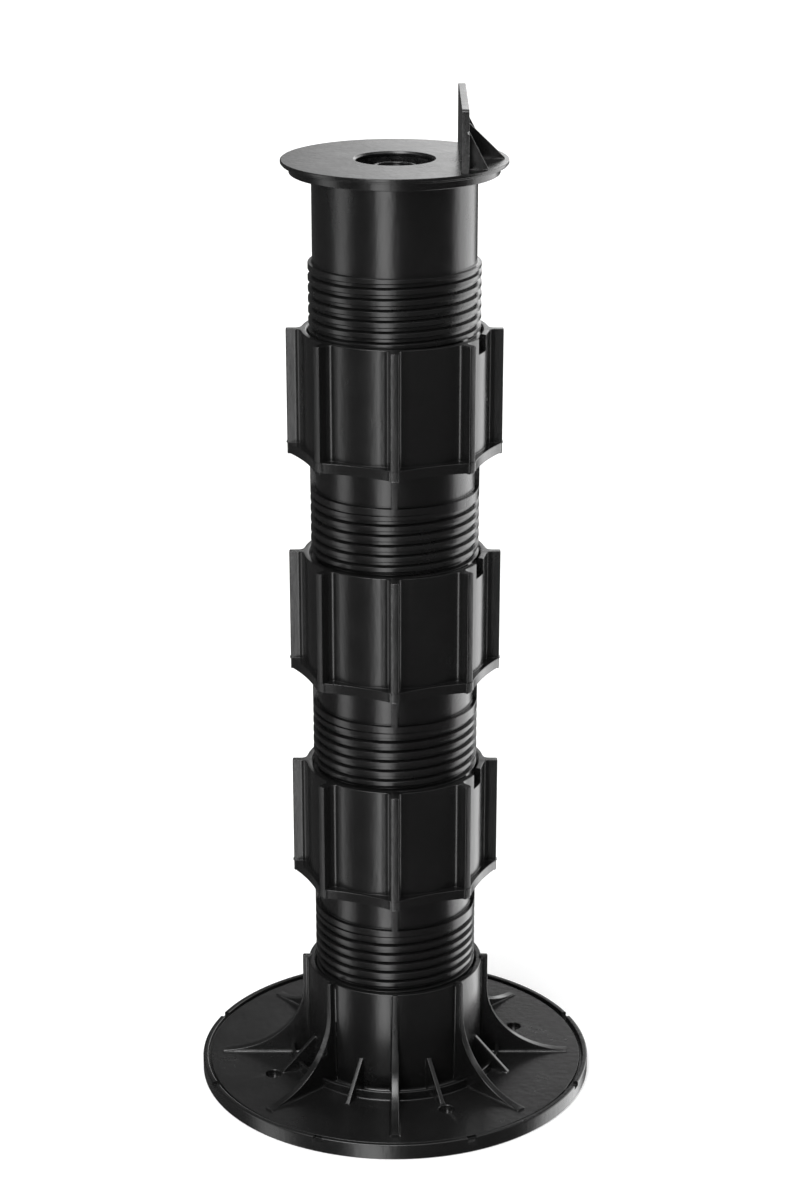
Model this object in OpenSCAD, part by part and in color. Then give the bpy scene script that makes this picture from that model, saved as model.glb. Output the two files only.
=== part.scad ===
// Adjustable raised floor pedestal: a finned foot, three screw couplers, a screw
// tube that ends in a spherical bowl, and a self-levelling head with a joist tab.
// Millimetres, +Z up, origin at the centre of the foot's underside, front is -Y.

/* [Foot] */
// Diameter of the foot disc
base_d = 200; // [160:1:240]
// Height of the disc's rim
rim_h = 8; // [6:0.5:12]
// Height of the deck's upper face
deck_z = 7; // [5:0.5:10]
// Thickness of the deck
deck_t = 3; // [2:0.25:5]
// Height of the threaded socket's rim
socket_h = 61.5; // [50:0.5:80]
// Width of the groove inside the rim
groove_w = 1.5; // [1:0.1:3]
// Pitch circle of the four fixing holes
hole_pcd = 135; // [120:1:150]
// Diameter of the fixing holes
hole_d = 8; // [5:0.5:10]
// Thickness of the eight main ribs at the top
rib_top_t = 2.6; // [2:0.1:5]
// Thickness of the eight main ribs at the deck
rib_foot_t = 4.4; // [3:0.1:6]
// Reach of a main rib's tip from the axis
rib_reach = 89.5; // [80:0.5:95]
// Straight upper part of a main rib
rib_straight = 18; // [10:1:30]
// Reach of a small gusset from the axis
gusset_reach = 63.5; // [55:0.5:75]

/* [Couplers] */
// Height of the lowest coupler's rim
first_rim_z = 171.2; // [150:0.1:185]
// Rise from one coupler's rim to the next
stage_rise = 109; // [85:0.5:125]
// Height of the grip fins
fin_h = 60.2; // [50:0.1:70]
// Radius to the tip of a fin
fin_r = 51.1; // [48:0.1:55]
// Thickness of a fin
fin_t = 4; // [3:0.1:6]
// Fillet where a fin meets the wall
fin_fillet = 3; // [1:0.25:5]
// Radius of the coupler's wall
wall_r = 44.2; // [42:0.1:47]
// Height of the scalloped bottom flange
flange_h = 4.8; // [3:0.1:8]
// Radius of the flange half way between two fins
flange_waist = 46.3; // [44.5:0.1:50]
// Height of the plain collar under the fins
collar_h = 15.8; // [10:0.1:20]
// Width of the spanner notch in the rim
notch_w = 9; // [6:0.5:12]
// Depth of the spanner notch
notch_h = 7.6; // [5:0.1:10]

/* [Thread] */
// Crest radius of the male thread
crest_r = 40.5; // [39:0.1:42]
// Root radius, the same as the plain tube
root_r = 38.4; // [37:0.1:40]
// Pitch
pitch = 5; // [4:0.5:6]
// Length of each male thread
thread_len = 55; // [40:1:60]
// Width of the flat crest
crest_w = 2; // [1:0.1:2.5]
// Height of one sloping flank
flank_w = 0.8; // [0.4:0.1:1.2]
// Height of the plain ring at the top of a coupler's thread
ring_h = 3; // [1.5:0.1:5]
// Radius of the bore that takes the thread
bore_r = 40.9; // [40.7:0.1:41.5]
// Depth of that bore in a coupler
bore_depth = 57; // [55:0.5:58]

/* [Screw tube] */
// Height of the top of the tube's thread
tube_thread_z = 420.8; // [400:0.1:430]
// Height of the plain ring at the top of the tube's thread
tube_ring_h = 1.6; // [1:0.1:5]
// Height of the tube's rim
tube_top_z = 464.1; // [450:0.1:480]
// Inner radius of the hollow tubes
hollow_r = 35.2; // [33:0.1:36]
// Radius of the bowl's mouth
bowl_mouth_r = 35.9; // [34:0.1:37]
// Spherical radius of the bowl
bowl_r = 66; // [60:1:80]
// Thickness of the bowl
bowl_t = 3; // [2:0.25:4]
// Diameter of the hub in the bowl
hub_d = 21; // [18:0.5:26]
// Span across the hub's lugs
lug_span = 31; // [26:0.5:34]
// Diameter of the four bowl holes
bowl_hole_d = 6.5; // [4:0.5:8]
// Distance of the bowl holes from the axis
bowl_hole_r = 23.2; // [20:0.1:27]

/* [Head] */
// Diameter of the head's disc
head_d = 105; // [95:0.5:120]
// Thickness of the disc
head_t = 2.3; // [2:0.1:4]
// Radius of the skirt under the disc
skirt_r = 48.6; // [45:0.1:50]
// Depth of the skirt
skirt_h = 3.8; // [3:0.1:8]
// Radius of the ribbed boss that rests in the bowl
boss_r = 33; // [28:0.5:35]
// Number of radial ribs in the boss
boss_ribs = 16; // [8:4:24]
// Diameter of the centre hole
head_hole_d = 36; // [32:0.5:40]
// Distance of the tab's inner face from the axis
tab_x = 29.6; // [20:0.1:35]
// Thickness of the tab
tab_t = 3.5; // [2.5:0.1:5]
// Height of the tab above the disc
tab_h = 28; // [20:0.5:40]
// Half length of the tab
tab_half = 40; // [30:0.5:41]
// Height of the break groove above the disc
tab_groove_z = 18; // [10:0.5:24]

/* [Hidden] */
$fn = 96;
ink = "#171717";
base_r = base_d / 2;
segs = 24;
depth = crest_r - root_r;
core_r = root_r - 0.8;
buried_r = root_r - 1.9;
groove_full = pitch - crest_w;
collar_z = -fin_h - collar_h;
deck_low = deck_z - deck_t;
floor_z = deck_z - 1.5;
bowl_gap = 0.35;
ball_z = tube_top_z - 2.2 + sqrt(pow(bowl_r, 2) - pow(bowl_mouth_r, 2));
disc_z = tube_top_z + 1.5;
head_z = disc_z + head_t;
hub_z = tube_top_z - 0.9;
waist_cos = fin_r * cos(20.3);
waist_sin = fin_r * sin(20.3);
scallop_c = (pow(waist_cos, 2) + pow(waist_sin, 2) - pow(flange_waist, 2))
    / (2 * (waist_cos - flange_waist));
scallop_r = scallop_c - flange_waist;

// ---- shared shapes --------------------------------------------------------

// Places its children at n equal steps round the axis, the first at angle a0
module around(n, a0 = 0) {
    for (k = [0:n - 1]) rotate([0, 0, a0 + k * 360 / n]) children();
}

// An upright plate t thick whose outline is given as [radius, height] points
module radial_plate(outline, t) {
    rotate([90, 0, 0]) translate([0, 0, -t / 2]) linear_extrude(t) polygon(outline);
}

// A point at column i of the helix
function at(i, r, z) = [r * cos(i * 360 / segs), r * sin(i * 360 / segs), z];

// The triangles of a flat face, all meeting at its first corner
function fan(p) = [for (k = [1:len(p) - 2]) [p[0], p[k], p[k + 1]]];

// Male thread, right-handed, hanging down from z = 0. Four lines per column bound
// the groove: lower edge, floor low, floor high and upper edge. Its ridge fades in
// at the open lower end, and the groove closes under the plain ring at the top.
module thread_sleeve(ring) {
    n = floor((thread_len - ring) / pitch) * segs;
    low = [for (i = [0:n]) -ring + (i - n) * pitch / segs];
    high = [for (z = low) min(z + groove_full, -ring)];
    part = [for (i = [0:n]) (high[i] - low[i]) / groove_full];
    lead = [for (i = [0:n]) root_r + depth * min(1, i / 4)];
    columns = [for (i = [0:n]) each [
        at(i, lead[max(0, i - segs)], low[i]),
        at(i, crest_r - depth * part[i], low[i] + flank_w * part[i]),
        at(i, crest_r - depth * part[i], high[i] - flank_w * part[i]),
        at(i, lead[i], high[i])]];
    rings = [for (e = [[root_r, -thread_len], [crest_r, 0], [buried_r, -thread_len],
        [buried_r, 0]]) for (i = [0:segs - 1]) at(i, e[0], e[1])];
    o = 4 * (n + 1);
    last = 4 * n;
    lower_flanks = [for (i = [segs:n - 2]) let (a = 4 * i, b = a + 4) each [
        [a, a + 1, b + 1], [a, b + 1, b]]];
    upper_flanks = [for (i = [0:n - 2]) let (a = 4 * i + 2, b = a + 4) each [
        [a, a + 1, b + 1], [a, b + 1, b]]];
    floors = [for (i = [segs:n - 2]) let (a = 4 * i + 1) [a, a + 1, a + 5, a + 4]];
    closing = [for (k = [0:2]) [last - 4 + k, last - 3 + k, last]];
    crests = [for (i = [0:n - segs - 1]) let (a = 4 * i + 3, b = 4 * (i + segs))
        [a, b, b + 4, a + 4]];
    foot = [for (i = [0:segs - 2]) [o + i, 4 * i + 2, 4 * i + 6, o + i + 1]];
    foot_end = fan([o + segs - 1, 4 * segs - 2, 4 * segs + 2, 4 * segs + 1, 4 * segs, 3, 2, o]);
    head = [for (i = [1:segs - 1]) let (a = 4 * (n - segs + i) + 3, t = o + segs)
        [a, t + i, t + (i + 1) % segs, i == segs - 1 ? last : a + 4]];
    head_start = fan([4 * (n - segs) + 7, 4 * (n - segs) + 3, last, o + segs, o + segs + 1]);
    skins = [for (i = [0:segs - 1]) let (j = (i + 1) % segs, u = o + 2 * segs,
        t = o + 3 * segs) each [[o + i, o + j, u + j, u + i],
        [o + segs + i, t + i, t + j, o + segs + j], [u + i, u + j, t + j, t + i]]];
    polyhedron(concat(columns, rings), concat(lower_flanks, upper_flanks, floors, closing,
        crests, foot, foot_end, head, head_start, skins));
}

// ---- foot -----------------------------------------------------------------

// Revolved section of the foot: rim, groove, deck, socket wall and inner floor
module base_section() {
    polygon([[0, deck_low], [bore_r, deck_low], [bore_r, 0], [wall_r, 0], [wall_r, deck_low],
        [base_r - 3.6, deck_low], [base_r - 3.6, 0], [base_r - 0.4, 0], [base_r, 0.4],
        [base_r, rim_h - 0.4], [base_r - 0.4, rim_h], [base_r - 2.6, rim_h],
        [base_r - 2.6, floor_z], [base_r - 2.6 - groove_w, floor_z],
        [base_r - 2.6 - groove_w, deck_z], [wall_r, deck_z], [wall_r, socket_h - 0.4],
        [wall_r - 0.4, socket_h], [bore_r + 0.9, socket_h], [bore_r, socket_h - 0.9],
        [bore_r, floor_z], [0, floor_z]]);
}

// One of the eight main ribs: straight at the top, then a hollow sweep to the deck
module main_rib() {
    top_r = wall_r + 3.3;
    top_z = socket_h + 1;
    bend_z = top_z - rib_straight;
    sweep = [for (t = [0:7.5:90]) [rib_reach - (rib_reach - top_r) * cos(t),
        bend_z - (bend_z - deck_z - 0.8) * sin(t)]];
    inner = wall_r - 1.2;
    intersection() {
        radial_plate(concat([[inner, deck_z - 0.5], [inner, top_z], [top_r - 0.4, top_z],
            [top_r, top_z - 0.4]], sweep, [[rib_reach, deck_z - 0.5]]), rib_foot_t + 1);
        rotate([90, 0, 90]) linear_extrude(rib_reach + 1) polygon([
            [-rib_foot_t / 2, 0], [rib_foot_t / 2, 0],
            [rib_top_t / 2, top_z + 1], [-rib_top_t / 2, top_z + 1]]);
    }
}

// One of the eight small gussets between the main ribs
module small_gusset() {
    radial_plate([[wall_r - 1, deck_z - 0.5], [wall_r - 1, 24.5], [wall_r + 0.4, 24.5],
        [gusset_reach, deck_z + 0.4], [gusset_reach, deck_z - 0.5]], 2.2);
}

// Ribs and rings that stiffen the underside, flush with the rim's lower edge
module underside() {
    around(16) translate([wall_r - 1, -1, 0]) cube([base_r - wall_r - 2, 2, deck_low + 0.5]);
    around(8) translate([0, -1, 0]) cube([bore_r + 1, 2, deck_low + 0.5]);
    difference() {
        cylinder(r = hole_pcd / 2 + 7.5, h = deck_low + 0.5);
        translate([0, 0, -1]) cylinder(r = hole_pcd / 2 + 5.5, h = deck_low + 3);
    }
    around(4, 22.5) translate([hole_pcd / 2, 0, 0]) cylinder(d = hole_d + 5, h = deck_low + 0.5);
}

module base() {
    color(ink) difference() {
        union() {
            rotate_extrude() base_section();
            around(8) main_rib();
            around(8, 22.5) small_gusset();
            difference() {
                translate([0, 0, deck_z - 0.5]) cylinder(r = 54, h = 5.2);
                translate([0, 0, deck_z - 1]) cylinder(r = 52.2, h = 8);
            }
            underside();
        }
        around(4, 22.5) translate([hole_pcd / 2, 0, -1]) cylinder(d = hole_d, h = rim_h + 2);
        around(8, 22.5) translate([base_r - 3.2, -2.5, rim_h - 2.3]) cube([5, 5, 4]);
    }
}

// ---- coupler --------------------------------------------------------------

// Cross-section of one grip fin with its fillets into the wall
module fin_section() {
    half = fin_t / 2;
    foot_x = wall_r - 0.35;
    side = [for (a = [0:22.5:90]) [foot_x + (wall_r + fin_fillet - foot_x) * (1 - cos(a)),
        half + fin_fillet * (1 - sin(a))]];
    tip = [[fin_r - 0.5, half - 0.1], [fin_r, half - 0.6]];
    edge = concat(side, tip);
    polygon(concat([[wall_r - 2, half + fin_fillet]], edge,
        [for (i = [len(edge) - 1:-1:0]) [edge[i][0], -edge[i][1]]],
        [[wall_r - 2, -half - fin_fillet]]));
}

// Bottom flange, bowed inwards between the fins
module scalloped_flange() {
    linear_extrude(flange_h) difference() {
        circle(r = fin_r - 0.4);
        for (k = [0:7]) rotate(22.5 + 45 * k) translate([scallop_c, 0]) circle(r = scallop_r);
    }
}

// One coupler with its rim at z = 0: a finned nut above, a male thread below
module coupler() {
    difference() {
        union() {
            translate([0, 0, -fin_h]) cylinder(r = wall_r, h = fin_h);
            around(8) translate([0, 0, -fin_h]) linear_extrude(fin_h) fin_section();
            translate([0, 0, -fin_h + 0.7]) scalloped_flange();
            translate([0, 0, collar_z - 1]) cylinder(r = root_r, h = collar_h + 2);
            around(4) translate([root_r - 1, -1.7, collar_z - 0.5])
                cube([crest_r - root_r + 1, 3.4, collar_h + 1]);
            translate([0, 0, collar_z - thread_len])
                cylinder(r = core_r, h = thread_len + 1);
            translate([0, 0, collar_z]) rotate([0, 0, -40]) thread_sleeve(ring_h);
        }
        translate([0, 0, -bore_depth]) cylinder(r = bore_r, h = bore_depth + 1);
        translate([0, 0, -0.9]) cylinder(r1 = bore_r, r2 = bore_r + 1, h = 1);
        translate([0, 0, collar_z - thread_len - 1])
            cylinder(r = hollow_r, h = thread_len + collar_h + 6);
        rotate([0, 0, -22.5]) translate([bore_r - 2, -notch_w / 2, -notch_h])
            cube([8, notch_w, notch_h + 1]);
    }
}

module coupler_1() { color(ink) translate([0, 0, first_rim_z]) coupler(); }
module coupler_2() { color(ink) translate([0, 0, first_rim_z + stage_rise]) coupler(); }
module coupler_3() { color(ink) translate([0, 0, first_rim_z + 2 * stage_rise]) coupler(); }

// ---- screw tube -----------------------------------------------------------

// Hub that centres the head: a ring with four rounded lugs
module hub() {
    difference() {
        union() {
            translate([0, 0, ball_z - bowl_r - 1]) cylinder(d = hub_d, h = hub_z + bowl_r + 1 - ball_z);
            around(4, -8) {
                translate([0, -3, hub_z - 3.2]) cube([lug_span / 2 - 3, 6, 2.8]);
                translate([lug_span / 2 - 3, 0, hub_z - 3.2]) cylinder(r = 3, h = 2.8);
            }
        }
        translate([0, 0, hub_z - 3]) cylinder(d = hub_d - 6, h = 4);
    }
}

module top_tube() {
    foot_z = tube_thread_z - thread_len;
    color(ink) difference() {
        union() {
            difference() {
                union() {
                    translate([0, 0, foot_z]) cylinder(r = core_r, h = thread_len);
                    translate([0, 0, tube_thread_z - 1])
                        cylinder(r = root_r, h = tube_top_z - tube_thread_z + 1);
                    translate([0, 0, tube_thread_z]) rotate([0, 0, 147])
                        thread_sleeve(tube_ring_h);
                }
                difference() {
                    translate([0, 0, foot_z - 1])
                        cylinder(r = hollow_r, h = tube_top_z - foot_z - 4);
                    translate([0, 0, ball_z]) sphere(r = bowl_r + bowl_t);
                }
                intersection() {
                    translate([0, 0, tube_top_z - 20]) cylinder(r = bowl_mouth_r, h = 21);
                    translate([0, 0, ball_z]) sphere(r = bowl_r);
                }
            }
            hub();
        }
        around(4, 37) translate([bowl_hole_r, 0, ball_z - bowl_r - 6])
            cylinder(d = bowl_hole_d, h = 14);
    }
}

// ---- head -----------------------------------------------------------------

// Upright tab with a break groove and three gussets behind it
module tab() {
    difference() {
        translate([tab_x, 0, head_z - 0.5]) rotate([90, 0, 90]) linear_extrude(tab_t)
            polygon([[-tab_half, 0], [tab_half, 0], [tab_half, tab_h - 2],
                [tab_half - 0.6, tab_h - 0.1], [tab_half - 2.5, tab_h + 0.5],
                [-tab_half + 2.5, tab_h + 0.5], [-tab_half + 0.6, tab_h - 0.1],
                [-tab_half, tab_h - 2]]);
        translate([tab_x + tab_t, 0, head_z + tab_groove_z]) rotate([0, 45, 0])
            cube([1.4, 2 * tab_half + 2, 1.4], center = true);
    }
    for (g = [[0, 50.4], [28, 42], [-28, 42]]) translate([0, g[0], head_z])
        radial_plate([[tab_x + 1, -0.5], [tab_x + 1, 16.6], [tab_x + tab_t, 16.6],
            [g[1], 0.5], [g[1], -0.5]], 2.4);
}

// Boss of thin rings and radial ribs whose lower edges lie on the ball
module boss() {
    intersection() {
        translate([0, 0, ball_z]) sphere(r = bowl_r - bowl_gap);
        difference() {
            union() {
                for (r = [head_hole_d / 2 + 2, 26.4, boss_r]) difference() {
                    translate([0, 0, tube_top_z - 14]) cylinder(r = r, h = 15.6);
                    translate([0, 0, tube_top_z - 15]) cylinder(r = r - 1.8, h = 18);
                }
                around(boss_ribs) translate([head_hole_d / 2, -0.8, tube_top_z - 14])
                    cube([boss_r - head_hole_d / 2 - 0.4, 1.6, 15.6]);
            }
            translate([0, 0, tube_top_z - 16]) cylinder(d = head_hole_d, h = 20);
        }
    }
}

module head() {
    color(ink) union() {
        rotate_extrude() polygon([[head_hole_d / 2, disc_z], [skirt_r - 2, disc_z],
            [skirt_r - 2, disc_z - skirt_h], [skirt_r, disc_z - skirt_h], [skirt_r, disc_z],
            [head_d / 2 - 0.7, disc_z], [head_d / 2 - 0.7, disc_z + 0.8],
            [head_d / 2, disc_z + 0.8], [head_d / 2, head_z - 0.3],
            [head_d / 2 - 0.3, head_z], [head_hole_d / 2 + 0.8, head_z],
            [head_hole_d / 2, head_z - 0.8]]);
        boss();
        tab();
    }
}

base();
coupler_1();
coupler_2();
coupler_3();
top_tube();
head();
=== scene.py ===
"""Looks of a screw-adjustable raised floor pedestal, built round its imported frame.

The meshes are worked out in millimetres, in the frame's own axes: +Z up, front -Y, origin at
the centre of the foot's underside. Shell.piece turns them into objects in metres.
"""

import math

import bmesh
import bpy
import numpy as np
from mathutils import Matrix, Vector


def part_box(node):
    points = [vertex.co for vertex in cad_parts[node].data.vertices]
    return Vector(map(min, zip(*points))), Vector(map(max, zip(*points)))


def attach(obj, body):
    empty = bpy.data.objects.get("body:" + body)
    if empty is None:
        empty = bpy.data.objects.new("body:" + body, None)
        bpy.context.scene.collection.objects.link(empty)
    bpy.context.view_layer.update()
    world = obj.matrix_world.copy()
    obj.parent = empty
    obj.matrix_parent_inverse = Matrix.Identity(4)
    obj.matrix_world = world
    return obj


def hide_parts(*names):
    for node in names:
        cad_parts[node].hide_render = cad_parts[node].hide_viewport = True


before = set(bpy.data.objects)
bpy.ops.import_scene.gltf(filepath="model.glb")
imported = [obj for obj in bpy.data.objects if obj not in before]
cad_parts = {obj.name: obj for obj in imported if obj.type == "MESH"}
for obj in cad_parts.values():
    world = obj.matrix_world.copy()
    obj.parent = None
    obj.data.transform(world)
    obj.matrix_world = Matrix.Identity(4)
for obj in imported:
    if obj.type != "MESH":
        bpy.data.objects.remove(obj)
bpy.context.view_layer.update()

MM = 0.001


def node_box(node):
    """Lowest and highest corner of a CAD node, in millimetres."""
    low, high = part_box(node)
    return [c / MM for c in low], [c / MM for c in high]


# ---- sizes, in millimetres ---------------------------------------------------

COUPLERS = ("coupler_1", "coupler_2", "coupler_3")
BASE_BOX = node_box("base")
TUBE_BOX = node_box("top_tube")
HEAD_BOX = node_box("head")

# foot
BASE_R = BASE_BOX[1][0]
RIM_H = 8.0
DECK_Z = 7.0
DECK_LOW = 4.0
GROOVE_Z = 5.5
GROOVE_R = (95.9, 97.4)
RIM_T = 3.6
DECK_RINGS = (88.0, 76.0, 62.0)  # extra edge loops that keep the deck's shading even
RING_WALL = (52.2, 54.0, 11.7)  # inner radius, outer radius and top of the low ring
SOCKET_H = BASE_BOX[1][2] - 1.0
HOLE_R = 4.0
HOLE_AT = 67.5
HOLE_TURN = 22.5
HOLE_LIP = 0.5
HOLE_BOSS = 2.5
RIM_NOTCH_HALF = 2.5
RIM_NOTCH_DEEP = 3.2
RIM_NOTCH_H = 2.3
UNDER_RING = (73.0, 75.0)
UNDER_HALF = 1.0
RIB_TOP_R = 47.5
RIB_REACH = 89.5
RIB_STRAIGHT = 18.0
RIB_FOOT_HALF = 2.0
RIB_TOP_HALF = 1.2
GUSSET_REACH = 63.0
GUSSET_TOP = 24.5
GUSSET_HALF = 1.1

# coupler
WALL_R = 44.2
BORE_R = 40.9
HOLLOW_R = 35.2
BORE_DEPTH = 57.0
FIN_H = 60.2
FIN_R = 51.1
FIN_HALF = 2.0
FIN_FILLET = 3.0
FINS = 8
FLANGE_LOW, FLANGE_HIGH = 0.7, 5.5
FLANGE_WAIST = 46.3
COLLAR_H = 15.8
STOP_RIB_HALF = 1.7
NOTCH_HALF = 4.5
NOTCH_H = 7.6
NOTCH_AT = -22.5

# thread
CREST_R = 40.5
ROOT_R = 38.4
PITCH = 5.0
CREST_W = 2.0
FLANK_W = 0.8
THREAD_LEN = 55.0
THREAD_COLUMNS = 96
THREAD_LEAD = 60.0  # degrees over which the thread rises to its full height
COUPLER_RING = 3.0
TUBE_RING = 1.6
COUPLER_TURN = -40.0
TUBE_TURN = 147.0

# screw tube
TUBE_TOP = TUBE_BOX[1][2]
TUBE_THREAD_Z = TUBE_BOX[0][2] + THREAD_LEN
MOUTH_R = 35.9
BOWL_R = 66.0
BOWL_T = 3.0
BALL_Z = TUBE_TOP - 2.2 + math.sqrt(BOWL_R**2 - MOUTH_R**2)
HUB_Z = TUBE_TOP + 0.7
HUB_R = 10.5
HUB_WALL = 2.3
HUB_RECESS = 1.6
LUG_REACH = 15.5
LUG_HALF = 3.0
LUG_TOP, LUG_LOW = 0.9, 3.6  # below the hub's top
LUG_AT = -8.0
BOWL_HOLE_R = 3.25
BOWL_HOLE_RING = 23.2
BOWL_HOLE_AT = 37.0

# head
HEAD_R = 52.5
DISC_Z = TUBE_TOP + 1.5
HEAD_Z = DISC_Z + 2.3
SKIRT_R = 48.6
SKIRT_H = 3.8
BOSS_RINGS = (20.0, 26.4, 33.0)
BOSS_RING_T = 1.8
BOSS_RIBS = 16
BOSS_STEP = 1.0
BOSS_RIB_HALF = 1.2
BOSS_RIB_SOFT = 0.6
HEAD_HOLE_R = 18.0
BALL_GAP = 0.35
TAB_X = (29.6, 33.1)
TAB_HALF = 40.0
TAB_TOP = HEAD_BOX[1][2]
TAB_GROOVE_Z = HEAD_Z + 18.0
TAB_GROOVE = 1.0
GUSSETS = ((0.0, 50.4), (28.0, 42.0), (-28.0, 42.0))
GUSSET_H = 16.6
TAB_GUSSET_HALF = 1.0

# radius of an ordinary edge
EDGE = 0.45


# ---- outlines and profiles ---------------------------------------------------


def rounded(points, radii, closed=True, steps=4):
    """The points with each corner turned into an arc of its own radius."""
    points = [np.array(p, float) for p in points]
    count = len(points)
    radii = [radii] * count if isinstance(radii, (int, float)) else radii
    out = []
    for k, (p, radius) in enumerate(zip(points, radii)):
        if radius <= 0 or (not closed and k in (0, count - 1)):
            out.append(p)
            continue
        a, b = points[k - 1] - p, points[(k + 1) % count] - p
        room = 0.48 * min(np.linalg.norm(a), np.linalg.norm(b))
        a, b = a / np.linalg.norm(a), b / np.linalg.norm(b)
        half = math.acos(max(-1.0, min(1.0, float(a @ b)))) / 2
        if half > 1.5:
            out.append(p)
            continue
        back = min(radius / math.tan(half), room)
        centre = p + (a + b) / np.linalg.norm(a + b) * back / math.cos(half)
        start, end = p + a * back - centre, p + b * back - centre
        sweep = math.pi - 2 * half
        for i in range(steps + 1):
            w = i / steps
            out.append(centre + (start * math.sin((1 - w) * sweep) + end * math.sin(w * sweep))
                       / math.sin(sweep))
    return out


def inset(outline, distance):
    """A closed anticlockwise outline moved inwards by a distance."""
    o = np.asarray(outline, float)
    before, after = o - np.roll(o, 1, axis=0), np.roll(o, -1, axis=0) - o
    n1 = np.stack([before[:, 1], -before[:, 0]], 1)
    n2 = np.stack([after[:, 1], -after[:, 0]], 1)
    n1 /= np.linalg.norm(n1, axis=1, keepdims=True) + 1e-12
    n2 /= np.linalg.norm(n2, axis=1, keepdims=True) + 1e-12
    middle = n1 + n2
    middle /= np.maximum(1 + (n1 * n2).sum(1, keepdims=True), 0.4)
    return o - middle * distance


def edge_steps(radius, steps=3):
    """(inset, height) pairs that round an edge, from the side wall to the flat face."""
    return [(radius * (1 - math.cos(a)), radius * math.sin(a))
            for a in np.linspace(0, math.pi / 2, steps + 1)]


class Shell:
    """The vertices and faces of one piece, in millimetres."""

    def __init__(self):
        self.points = []
        self.faces = []

    def add(self, points):
        """Adds vertices and returns the number of the first."""
        first = len(self.points)
        self.points += [tuple(map(float, p)) for p in points]
        return first

    def grid(self, rows, close_rows=False, close_columns=True):
        """A sheet of quads through rows of equally many points."""
        rows = np.asarray(rows, float)
        n, m = rows.shape[:2]
        first = self.add(rows.reshape(-1, 3))
        for i in range(n if close_rows else n - 1):
            low, high = first + i * m, first + (i + 1) % n * m
            for j in range(m if close_columns else m - 1):
                k = (j + 1) % m
                self.faces.append((low + j, low + k, high + k, high + j))
        return first

    def cap(self, first, count):
        """One flat face on a loop of vertices."""
        self.faces.append(tuple(range(first, first + count)))

    def revolve(self, profile, count, close=True, centre=(0.0, 0.0)):
        """Turns a profile of (radius, height) points round an upright axis."""
        a = np.arange(count) * 2 * math.pi / count
        rows = [np.stack([centre[0] + r * np.cos(a), centre[1] + r * np.sin(a),
                          np.full(count, z)], 1) for r, z in profile]
        return self.grid(rows, close_rows=close)

    def slab(self, outline, low, high, low_edge, high_edge, place=lambda p: p):
        """A plate with a closed outline, rounded along both of its edges."""
        levels = [(d, low + low_edge - h) for d, h in reversed(edge_steps(low_edge))]
        levels += [(d, high - high_edge + h) for d, h in edge_steps(high_edge)]
        rows = []
        for d, z in levels:
            flat = inset(outline, d)
            rows.append(place(np.column_stack([flat, np.full(len(flat), z)])))
        first = self.grid(rows)
        self.cap(first, len(outline))
        self.cap(first + (len(rows) - 1) * len(outline), len(outline))

    def turned(self, first, degrees):
        """Turns the vertices from the given one on about the vertical axis."""
        p = np.array(self.points[first:])
        c, s = math.cos(math.radians(degrees)), math.sin(math.radians(degrees))
        x, y = p[:, 0] * c - p[:, 1] * s, p[:, 0] * s + p[:, 1] * c
        self.points[first:] = list(zip(x, y, p[:, 2]))

    def piece(self, name, cutters=()):
        """The shell as an object in metres, tidied, with the cutters' volumes taken out."""
        mesh = bpy.data.meshes.new(name)
        mesh.from_pydata((np.array(self.points) * MM).tolist(), [], self.faces)
        obj = bpy.data.objects.new(name, mesh)
        bpy.context.scene.collection.objects.link(obj)
        tidy_mesh(mesh)
        for cutter in cutters:
            cut(obj, cutter)
        return obj


def tidy_mesh(mesh):
    """Merges doubled points, drops empty faces and turns every normal outwards."""
    bm = bmesh.new()
    bm.from_mesh(mesh)
    bmesh.ops.remove_doubles(bm, verts=bm.verts, dist=1e-7)
    bmesh.ops.dissolve_degenerate(bm, dist=1e-7, edges=bm.edges)
    bmesh.ops.recalc_face_normals(bm, faces=bm.faces)
    bm.to_mesh(mesh)
    bm.free()


def cut(obj, cutter):
    """Takes the cutter's volume out of the object."""
    tool = cutter.piece("cutter")
    step = obj.modifiers.new("cut", "BOOLEAN")
    step.operation, step.solver, step.object = "DIFFERENCE", "EXACT", tool
    bpy.context.view_layer.update()
    seen = obj.evaluated_get(bpy.context.evaluated_depsgraph_get())
    mesh = bpy.data.meshes.new_from_object(seen)
    obj.modifiers.clear()
    obj.data = mesh
    bpy.data.objects.remove(tool)


def joined(name, *objects):
    """The objects' meshes in one object of the first one's place."""
    bm = bmesh.new()
    for o in objects:
        bm.from_mesh(o.data)
    mesh = bpy.data.meshes.new(name)
    bm.to_mesh(mesh)
    bm.free()
    for o in objects:
        bpy.data.objects.remove(o)
    obj = bpy.data.objects.new(name, mesh)
    bpy.context.scene.collection.objects.link(obj)
    return obj


def finished(obj, body, material):
    """Shades the piece, gives it its plastic and hangs it under the empty of its body."""
    mesh = obj.data
    mesh.polygons.foreach_set("use_smooth", [True] * len(mesh.polygons))
    mesh.set_sharp_from_angle(angle=math.radians(32))
    normals = obj.modifiers.new("face_normals", "WEIGHTED_NORMAL")
    normals.keep_sharp = True
    mesh.materials.clear()
    mesh.materials.append(material)
    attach(obj, body)
    return obj


# ---- thread ------------------------------------------------------------------


def groove_profile():
    """(height, depth) points across one groove, with rounded crests and roots."""
    wide = PITCH - CREST_W
    deep = CREST_R - ROOT_R
    over = 0.3
    corners = [(-over, 0), (0, 0), (FLANK_W, deep), (wide - FLANK_W, deep), (wide, 0),
               (wide + over, 0)]
    line = rounded(corners, [0, 0.32, 0.25, 0.25, 0.32, 0], closed=False, steps=3)
    return line[1:-1]


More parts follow.
